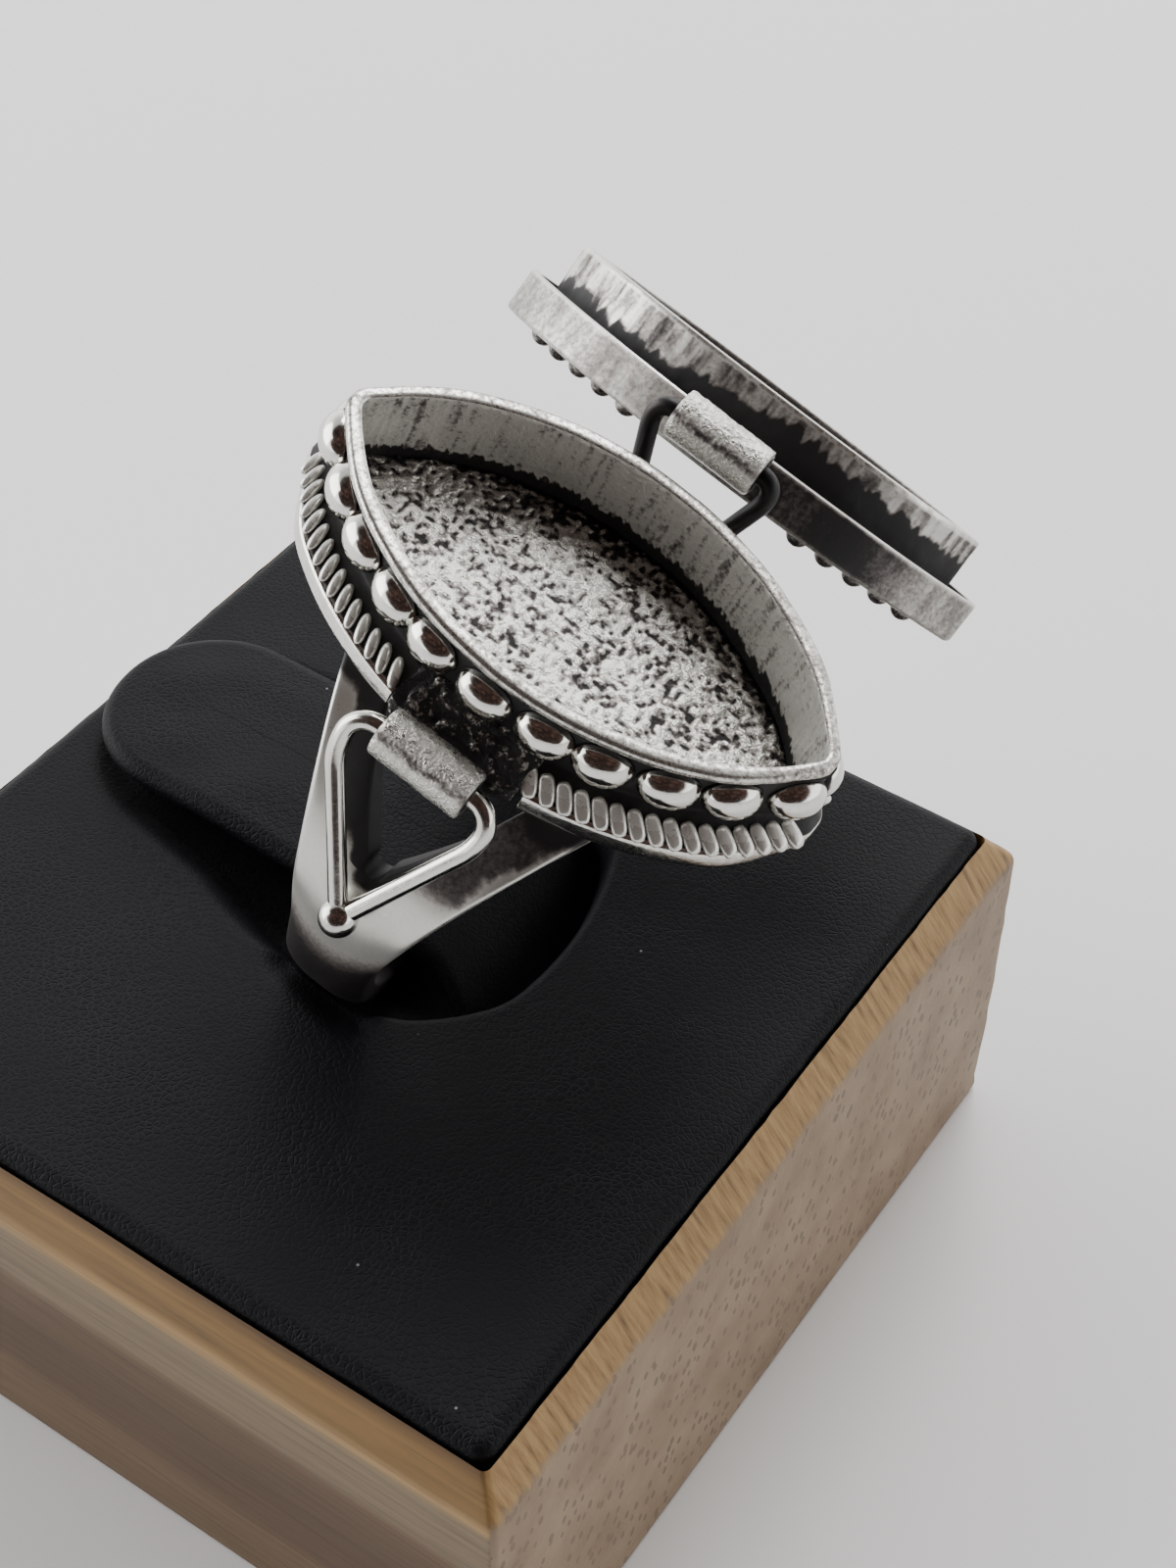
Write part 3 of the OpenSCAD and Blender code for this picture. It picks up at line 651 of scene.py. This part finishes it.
def shank_half(side):
    """Half the split shank, to the right (1) or left (-1). Round the hoop, by the angle from
    its bottom, a four-sided section runs between an inner and an outer width. The outer
    grows along an arc; the inner is nothing in the band and opens where the arms part.
    Low down the outer face falls off to its edges by the cube of the width."""
    fork_z = FORK_Z - FORK_R * np.cos(np.linspace(0, np.pi / 2, 24))
    fork = np.degrees(np.arccos((HOOP_Z - fork_z) / (BORE_R + HOOP_R) * 2))
    angle = np.sort(np.concatenate([np.linspace(-150.5, 150.5, 301), fork, -fork]))
    angle = np.radians(angle)[:, None]
    z_mid = HOOP_Z - (BORE_R + HOOP_R) / 2 * np.cos(angle)
    outer = BAND_HALF + ARM_ARC - np.sqrt(ARM_ARC**2 - np.maximum(z_mid + 17.5, 0) ** 2)
    rounded = np.sqrt(np.maximum(FORK_R**2 - (z_mid - FORK_Z) ** 2, 0)) * (z_mid < FORK_Z + 0.33)
    inner = np.maximum(np.where(z_mid > FORK_Z - 0.05, 3.8 - 0.74 * (-5.2 - z_mid), 0), rounded)
    opened = smooth(0.0, 0.35, inner)
    fall, ease = 0.14, 0.22

    def corner(at_outer, at_top, order):
        turned = np.linspace(0, np.pi / 2, 5)[None, ::order]
        amount = 1 if at_outer else opened
        into = amount * ease * (1 - np.sin(turned))
        x = outer - into if at_outer else inner + into
        drop = amount * fall * (1 - np.cos(turned))
        return x, np.broadcast_to(HOOP_R - drop if at_top else BORE_R + drop, x.shape)

    def face(rho, order):
        shares = np.linspace(0.08, 0.92, 7)
        x = outer - ease - (outer - inner - ease * (1 + opened)) * shares
        return x[:, ::order], np.full(x.shape, rho)

    section = [face(HOOP_R, -1), corner(True, True, 1), corner(True, False, -1),
               face(BORE_R, 1), corner(False, False, 1), corner(False, True, -1)]
    x = np.concatenate([part[0] for part in section], 1)
    rho = np.concatenate([part[1] for part in section], 1)
    dome = 0.5 * smooth(-11.5, -15.5, z_mid) * (x / outer) ** 3
    domed = rho - dome * smooth(BORE_R + 0.5, HOOP_R - 0.2, rho)
    y, z = domed * np.sin(angle), HOOP_Z - domed * np.cos(angle)
    points = np.stack([side * x, y, z], -1)

    # tarnish: the arms' inner part, their roots, the walls that face in, the fork; and painted
    # reflection at the foot
    share = (x - inner) / (outer - inner)
    ragged = 0.12 * cloud(points, 1.1, 52) + 0.05 * cloud(points, 0.25, 54)
    reach, depth = (0.66, 0.7) if side < 0 else (0.92, 0.5)
    patina = depth * smooth(-9.9, -8.4, z) * smooth(reach, reach - 0.16, share + ragged)
    root = 0.8 * smooth(-6.1, -5.1, z + 0.4 * cloud(points, 0.8, 53))
    wall = 0.8 * smooth(0.02, 0.12, HOOP_R - rho) * smooth(0.25, 0.22, x - inner)
    crotch = smooth(-7.8, -9.6, z_mid) * smooth(-11.2, -10.3, z_mid)
    wall = wall + crotch * smooth(0.75, 0.45, x - inner + 0.5 * ragged)
    # painted reflection: the hoop darker towards its bottom and outer edges, where it mirrors the
    # black pad below
    painted_pad_reflection = 0.6 * smooth(-13.2, -17.0, z - 1.3 * (x / outer) ** 2)
    dark = 0.14 + np.maximum(np.maximum(patina, root), wall) + painted_pad_reflection
    return grid(points, dark + 0.05 * cloud(points, 3.0, 51), (False, True))


# The lid
LID = dense([
    (-2.14, 1.1, 0), (-2.14, 1.1, 1), (-2.07, 1.0, 1), (-2.07, -1.98, 1), (-2.0, -2.08, 1),
    (-1.9, -2.1, 1), (-1.42, -2.1, 1), (-1.31, -2.06, 1), (-1.27, -1.96, 1), (-1.27, 0.22, 1),
    (-1.16, 0.36, 1), (-0.6, 0.42, 1), (-0.48, 0.36, 1), (-0.45, 0.18, 1), (-0.4, 0.11, 1),
    (-0.08, 0.1, 1), (0.0, 0.17, 1), (0.0, 1.9, 1), (-0.06, 2.03, 1), (-0.2, 2.1, 1),
    (-0.5, 2.1, 1), (-0.5, 2.1, 0)], 0.15)


def lid_shell():
    """The lid as it lies when closed: hollow, plug, groove, band and outer face in one
    profile, swept round the outline."""
    u = stations(420)
    off, z = LID[:, 0], LID[:, 1]
    plug = (np.abs(off + 1.27) < 0.06) & (z < 0.2)
    groove = (off > -1.3) & (off < -0.42) & (z > 0.15) & (z < 0.6)
    lip = (z < -1.95) & (off > -1.99)
    rim = (off > -0.46) & (z < 0.18)
    band = (off > -0.03) & (z > 0.18) & (z < 1.95)
    dark = np.select([lip, groove, rim, plug, band, off < -2],
                     [0.15, 1.0, 0.25, 0.5, 0.4, 0.55], 0.35)
    dark = np.repeat(dark[None], len(u), 0)
    ride_u = np.stack([u[:, None] * 58 + 0 * z, 0 * u[:, None] + z * 0.22, 0 * dark], -1)
    streak = (cloud(ride_u, 0.35, 61) * 0.14 + cloud(ride_u, 1.3, 62) * 0.12
              + cloud(ride_u, 0.14, 67) * 0.12)
    fringe = 0.3 * cloud(ride_u, 0.3, 63) + 0.4 * cloud(ride_u * [0.1, 1, 1], 0.5, 66)
    along = marquise(u, np.zeros(1))[0]
    reach = z + 0.75 + 0.5 * smooth(-5, 1, along) + fringe
    dark = np.where(plug[None], dark - 0.1 + streak + 0.6 * smooth(0, 0.4, reach), dark)
    dark = np.where(rim[None], dark + 0.25 * streak, dark)
    darkening = 0.4 * np.exp(-((along - 6.2) / 2) ** 2) + 0.2 * np.exp(-((along - 2.5) / 2) ** 2)
    dark = np.where(band[None], dark + darkening + 0.3 * streak, dark)

    def nudge(points):
        points[..., 0] -= 0.25 * (off < -0.7) * smooth(8.5, 10.8, points[..., 0])
        push = 0.03 * cloud(points, 1.8, 64) + 0.02 * cloud(points, 0.45, 65)
        lean = points[..., :2] / np.linalg.norm(points[..., :2], axis=-1, keepdims=True).clip(1e-6)
        points[..., :2] += lean * (push * (np.abs(off + 1.0) < 0.6))[..., None]
        return points

    return swept(u, LID, dark, nudge)


def studs():
    """Small beads along the edge of the lid's outer face, which stop short of the hinge."""
    made = []
    for side, gap in ((1, 0), (-1, 3)):
        for k in range(-STUD_LAST, STUD_LAST + 1):
            if abs(k) < gap:
                continue
            place, _, _ = on_arc(STUD_PITCH * k, ARC_R - 0.8, side)
            place[2] = 1.9
            made.append(ball(place, np.full(3, STUD_R), None, 14, 22, 1.0, 0.55))
    return made


# The block and its pad
def square_ring(half, corner, z):
    """A square of that half width with rounded corners at a height: an arc at each corner
    and evenly spaced points on the side after it."""
    made = []
    core, side, bend = half - corner, 110, 8
    for k in range(4):
        angle = np.radians(90 * k - 90) + np.linspace(0, np.pi / 2, bend)
        middle = np.array([(1, -1), (1, 1), (-1, 1), (-1, -1)][k]) * core
        arc = middle + corner * np.stack([np.cos(angle), np.sin(angle)], 1)
        after = np.array([(1, 1), (-1, 1), (-1, -1), (1, -1)][k]) * core
        start = after + corner * np.array([np.cos(angle[-1]), np.sin(angle[-1])])
        share = np.linspace(0, 1, side + 1)[1:-1, None]
        made += [arc, arc[-1] + (start - arc[-1]) * share]
    flat = np.vstack(made)
    return np.column_stack([flat, np.full(len(flat), z)])


def block():
    """The bamboo block: rounded squares from the middle of its underside out, up its faces,
    in along the chamfer, down into the pad's recess and in to the middle again."""
    low, high, recess = BLOCK_H - CHAMFER_H, BLOCK_H, 15.7
    rows = [(-20.49, 0), (-14, 0), (-7, 0), (-0.3, 0), (-0.1, 0.06), (0, 0.3)]
    rows += [(0, z) for z in np.linspace(1, low - 0.35, 16)]
    rows += [(-0.02, low - 0.12), (-0.08, low + 0.06), (-0.22, low + 0.26)]
    rows += [(-0.22 - 0.94 * t, low + 0.26 + 1.2 * t) for t in (0.25, 0.5, 0.75, 1.0)]
    rows += [(-1.17, high - 0.3), (-1.18, high - 1)]
    rows += [(inset, recess) for inset in (-1.18, -8, -20.49)]
    halves = [(BLOCK_HALF + inset, z) for inset, z in rows]
    points = np.stack([square_ring(half, min(0.35, half / 2), z) for half, z in halves])
    wave = 0.05 * cloud(points, 5.0, 81) + 0.03 * cloud(points * [0.1, 1, 1], 0.7, 82)
    points[..., :2] += (np.sign(points[..., :2]) * wave[..., None]) * (points[..., 2:] > 0.5)
    return grid(points.clip(-BLOCK_HALF, BLOCK_HALF), 0.0, (False, True))


def edge_of_slit(x, y):
    """How far a place lies outside the slit that the tongue is cut from, below 0 inside.
    The slit has a round end on the left and widens to a curved crease on the right. The
    larger of the two distances counts, blended by a parabola where they are nearly equal."""
    near = np.interp(x, [-18, -14, -8, -4, 0, 1.5, 3, 4.5, 6.6, 8],
                     [5.15, 5.3, 6.2, 7.4, 8.3, 8.45, 8.35, 7.8, 6.6, 6.3])
    half = np.where(y < TONGUE_Y, near, TONGUE_HALF + 0.15 + 1.6 * smooth(2.5, 6.6, x))
    crease = 7.2 - (y - 1.9) ** 2 / 30
    left = np.hypot(np.minimum(x + 12.9, 0), y - TONGUE_Y)
    beside, beyond = left - half, x - crease
    share = np.clip(0.5 + (beyond - beside) / 5, 0, 1)
    return beside + share * (beyond - beside) + 2.5 * share * (1 - share)


def pad_height(x, y):
    """The pad's top: slightly crowned and wavy, sinking towards the slit, most near its
    fold, and dimpled round the hoop that stands in it."""
    flat = np.stack([x, y, 0 * x], -1)
    top = PAD_TOP - 0.12 + 0.1 * np.cos(x / 14) * np.cos(y / 14) + 0.04 * cloud(flat, 4.0, 91)
    deep = np.interp(x, [-18, -14, -9, -4, 2, 8], [0.1, 0.5, 1.3, 2.2, 2.8, 2.8])
    wide = np.interp(x, [-18, -14, -6, 2, 6, 8], [0.6, 1.2, 1.8, 1.2, 0.9, 0.8])
    outside = edge_of_slit(x, y)
    sunk = deep * (1 - smooth(-0.6, wide, outside)) ** 1.5
    local = (np.stack([x, y, top], -1) - RING_AT) @ RING_TURN
    reach = np.hypot(local[..., 1], local[..., 2] - HOOP_Z)
    beside = np.maximum(np.abs(local[..., 0]) - BAND_HALF, 0)
    gap = np.hypot(beside, np.maximum(reach - HOOP_R, 0))
    dimple = 0.9 * (1 - smooth(-0.2, 1.6, gap)) ** 1.5
    return top - np.maximum(sunk, dimple)


def pad_cover():
    """The pad's leather: a lattice over the top, whose outer lines roll over the edge in a
    quarter circle and run down to the recess, closed by a flat underside."""
    core = PAD_HALF - PAD_ROLL
    quarter = PAD_ROLL * np.pi / 2
    wall = PAD_TOP - PAD_ROLL - PAD_LOW
    down = quarter + wall * np.array([0.3, 0.65, 1])
    out = np.concatenate([np.linspace(0, quarter, 9)[1:], down])
    line = np.concatenate([-(core + out)[::-1], np.linspace(-core, core, 225), core + out])
    u, v = np.meshgrid(line, line, indexing="ij")
    x, y = u.clip(-core, core), v.clip(-core, core)
    du, dv = u - x, v - y
    past = np.maximum(np.abs(du), np.abs(dv))
    length = np.maximum(np.hypot(du, dv), 1e-9)
    bent = np.minimum(past / PAD_ROLL, np.pi / 2)
    x, y = x + du / length * PAD_ROLL * np.sin(bent), y + dv / length * PAD_ROLL * np.sin(bent)
    drop = PAD_ROLL * (1 - np.cos(bent)) + np.maximum(past - quarter, 0)
    z = PAD_TOP + (pad_height(x, y) - PAD_TOP) * np.cos(bent) - drop
    points = np.stack([x, y, z], -1)
    slack = 0.06 * cloud(points, 2.2, 92) * np.sin(bent)
    points[..., :2] -= np.sign(points[..., :2]) * np.abs(slack)[..., None]
    rim = np.concatenate([points[0, :-1], points[:-1, -1], points[-1, :0:-1], points[:0:-1, 0]])
    under = np.stack([rim, 0 * rim + [0, 0, PAD_LOW]])
    return [grid(points), grid(under, 0.0, (False, True))]


def tongue():
    """The tongue: a padded strip whose outline is drawn in ring by ring, rounded along its
    edges, and lifted along x so that it comes out of its fold, runs through the ring and
    lies on the pad. Its root is wider."""
    root, end, puff = 6.9, -18.2, 0.7
    rolled = np.linspace(0, np.pi / 2, 7)
    inset = np.concatenate([puff * (1 - np.cos(rolled)), np.linspace(0.9, 4.99, 28)])
    lift = np.concatenate([puff * np.sin(rolled), np.full(28, puff)])
    side = np.linspace(root, end + TONGUE_HALF, 170)
    turn_ = np.linspace(np.pi / 2, 3 * np.pi / 2, 110)[1:-1]
    x = np.concatenate([side, end + TONGUE_HALF + 0 * turn_, side[::-1]])[None]
    left = np.concatenate([0 * side, np.cos(turn_), 0 * side])[None]
    across = np.concatenate([1 + 0 * side, np.sin(turn_), -1 + 0 * side])[None]
    half = TONGUE_HALF - inset[:, None]
    x = x + left * half
    flare = 1 + 0.3 * smooth(3.0, 6.6, x)
    y = TONGUE_Y + across * half * flare
    run = np.linspace(-19, 8, 400)
    table = np.interp(run, [-19, -17.4, -8.8, -2.9, 0.2, 2.2, 3.6, 5.0, 6.2, 7.0],
                      [20.8, 20.85, 20.75, 20.3, 19.75, 19.1, 18.4, 17.3, 16.3, 15.8])
    kernel = np.hanning(31) / np.hanning(31).sum()
    height = np.convolve(np.pad(table, 15, "edge"), kernel, "valid")
    top = np.interp(x, run, height) + 0.05 * cloud(np.stack([x, y, 0 * x], -1), 2.5, 93)
    crown = 0.1 * smooth(0, 3, inset)[:, None]
    upper = np.stack([x, y, top - puff + lift[:, None] + crown - 0.1], -1)
    lower = np.stack([x, y, top - puff - lift[:, None]], -1)
    return grid(np.concatenate([upper[::-1], lower[1:]]), 0.0, (False, True))


ring_box = piece("ring_box", [cup(CUP)], on_ring, cast_silver)
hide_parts("ring_body")
piece("ring_box_inside", [cup(INSIDE)], on_ring, wall_silver, sharp=80)
piece("ring_box_floor", [box_floor()], on_ring, rough_silver, sharp=80)
piece("ring_beads", beads(), on_ring, worn_silver)
piece("ring_rope_row", rope(), on_ring, rope_silver)
front_lump = crumb((-3.15, -7.9, -4.75), (2.85, -5.6, -2.5), 0.32, 71, 0.8, 0.5)
piece("ring_front_plate", [front_lump], on_ring, solder, sharp=80)
back_lump = crumb((-2.35, 5.9, -4.7), (2.35, 8.25, -2.3), 0.22, 74)
piece("ring_back_plate", [back_lump], on_ring, solder, sharp=80)
piece("ring_front_tube", [tube(FRONT)], on_ring, tube_silver)
piece("ring_hinge_link", [link()], on_ring, wire_silver)
piece("ring_shank", [shank_half(1), shank_half(-1)], on_ring, satin_silver, sharp=50)

ON_LID = {"place": on_lid, "body": "lid", "slot": "lid_silver"}
lid = piece("lid_shell", [lid_shell()], material=lid_silver, **ON_LID)
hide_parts("lid")
piece("lid_studs", studs(), material=cast_silver, **ON_LID)
web_lump = crumb((-1.95, 6.1, 0.1), (1.95, 8.6, 1.35), 0.1, 77, 0.5)
piece("lid_web", [web_lump], material=cast_silver, **ON_LID)
piece("lid_tube", [tube(HINGE, -LID_OPEN)], material=tube_silver, **ON_LID)

clasp = piece("clasp_wire", clasp_wires(), on_clasp, wire_silver, "clasp", "clasp_silver")
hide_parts("clasp")

wood = piece("bamboo_laminate", [block()], as_is, bamboo(), "stand", "bamboo", 50)
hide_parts("bamboo_block")
cushion = pad_cover() + [tongue()]
pad = piece("leather_cushion", cushion, as_is, leather(), "stand", "black_leather", 80)
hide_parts("leather_pad")


# Camera, floor and light
camera = bpy.data.objects.new("camera", bpy.data.cameras.new("camera"))
camera.data.lens = 59.04
camera.data.clip_start, camera.data.clip_end = 0.005, 10
right, up = (0.82598, 0.56363, 0.00879), (-0.40779, 0.5867, 0.69964)
pose = Matrix([right, up, (0.38918, -0.58147, 0.71444)]).transposed().to_4x4()
pose.translation = (0.048596, -0.056943, 0.102865)
camera.matrix_world = pose
bpy.context.scene.collection.objects.link(camera)
bpy.context.scene.camera = camera

floor_mesh = bpy.data.meshes.new("floor")
floor_mesh.from_pydata([(-1, -1, 0), (1, -1, 0), (1, 1, 0), (-1, 1, 0)], [], [(0, 1, 2, 3)])
floor = bpy.data.objects.new("floor", floor_mesh)
bpy.context.scene.collection.objects.link(floor)
paper, paper_tree, paper_shader, _ = material("matt white paper")
paper_shader.inputs["Base Color"].default_value = colour("#fafafa")
paper_shader.inputs["Roughness"].default_value = 0.9
floor_mesh.materials.append(paper)

# Light comes in from all round, as in a white tent, but for the dark opening in front and
# above through which one looks in. The backdrop itself is plain, as pale as the floor
world = bpy.data.worlds.new("studio")
world.use_nodes = True
bpy.context.scene.world = world
sky = world.node_tree
look = add(sky, "TexCoord").outputs["Generated"]
rise = add(sky, "SeparateXYZ", {0: look}).outputs["Z"]
opening = add(sky, "VectorMath", {0: look, 1: (0.33, -0.54, 0.775)}, operation="DOT_PRODUCT")
tent = ramp(sky, rise, (0.0, "#ffffff"), (0.4, "#f4f4f4"), (0.75, "#a0a0a0"), (1.0, "#8a8a8a"))
hole = ramp(sky, opening.outputs["Value"], (0.45, "#000000"), (0.54, "#ffffff"))
patchy = add(sky, "TexNoise", {"Vector": look, "Scale": 5.0, "Detail": 4.0}).outputs["Fac"]
dim = ramp(sky, patchy, (0.35, "#120f0e"), (0.55, "#2a1f1c"), (0.75, "#4c3833"))
seen = add(sky, "LightPath").outputs["Is Camera Ray"]
shade = mix(sky, seen, mix(sky, hole, tent, dim), colour("#8a8a8a"))
sky.links.new(shade, sky.nodes["Background"].inputs["Color"])
sky.nodes["Background"].inputs["Strength"].default_value = 2.6


def softbox(name, at, aim, size, watts):
    """A square soft light at a place, facing a point."""
    light = bpy.data.lights.new(name, "AREA")
    light.size, light.energy = size, watts
    made = bpy.data.objects.new(name, light)
    at, aim = np.array(at), np.array(aim)
    z = (at - aim) / np.linalg.norm(at - aim)
    x = np.cross([0, 0, 1.0], z)
    x /= np.linalg.norm(x)
    turned = Matrix([x, np.cross(z, x), z]).transposed().to_4x4()
    turned.translation = at
    made.matrix_world = turned
    bpy.context.scene.collection.objects.link(made)


TARGET = (0.003, 0.003, 0.03)
softbox("window_light", (-0.06, 0.36, 0.46), TARGET, 0.3, 2.5)
softbox("side_light", (-0.42, -0.16, 0.22), TARGET, 0.4, 2.0)
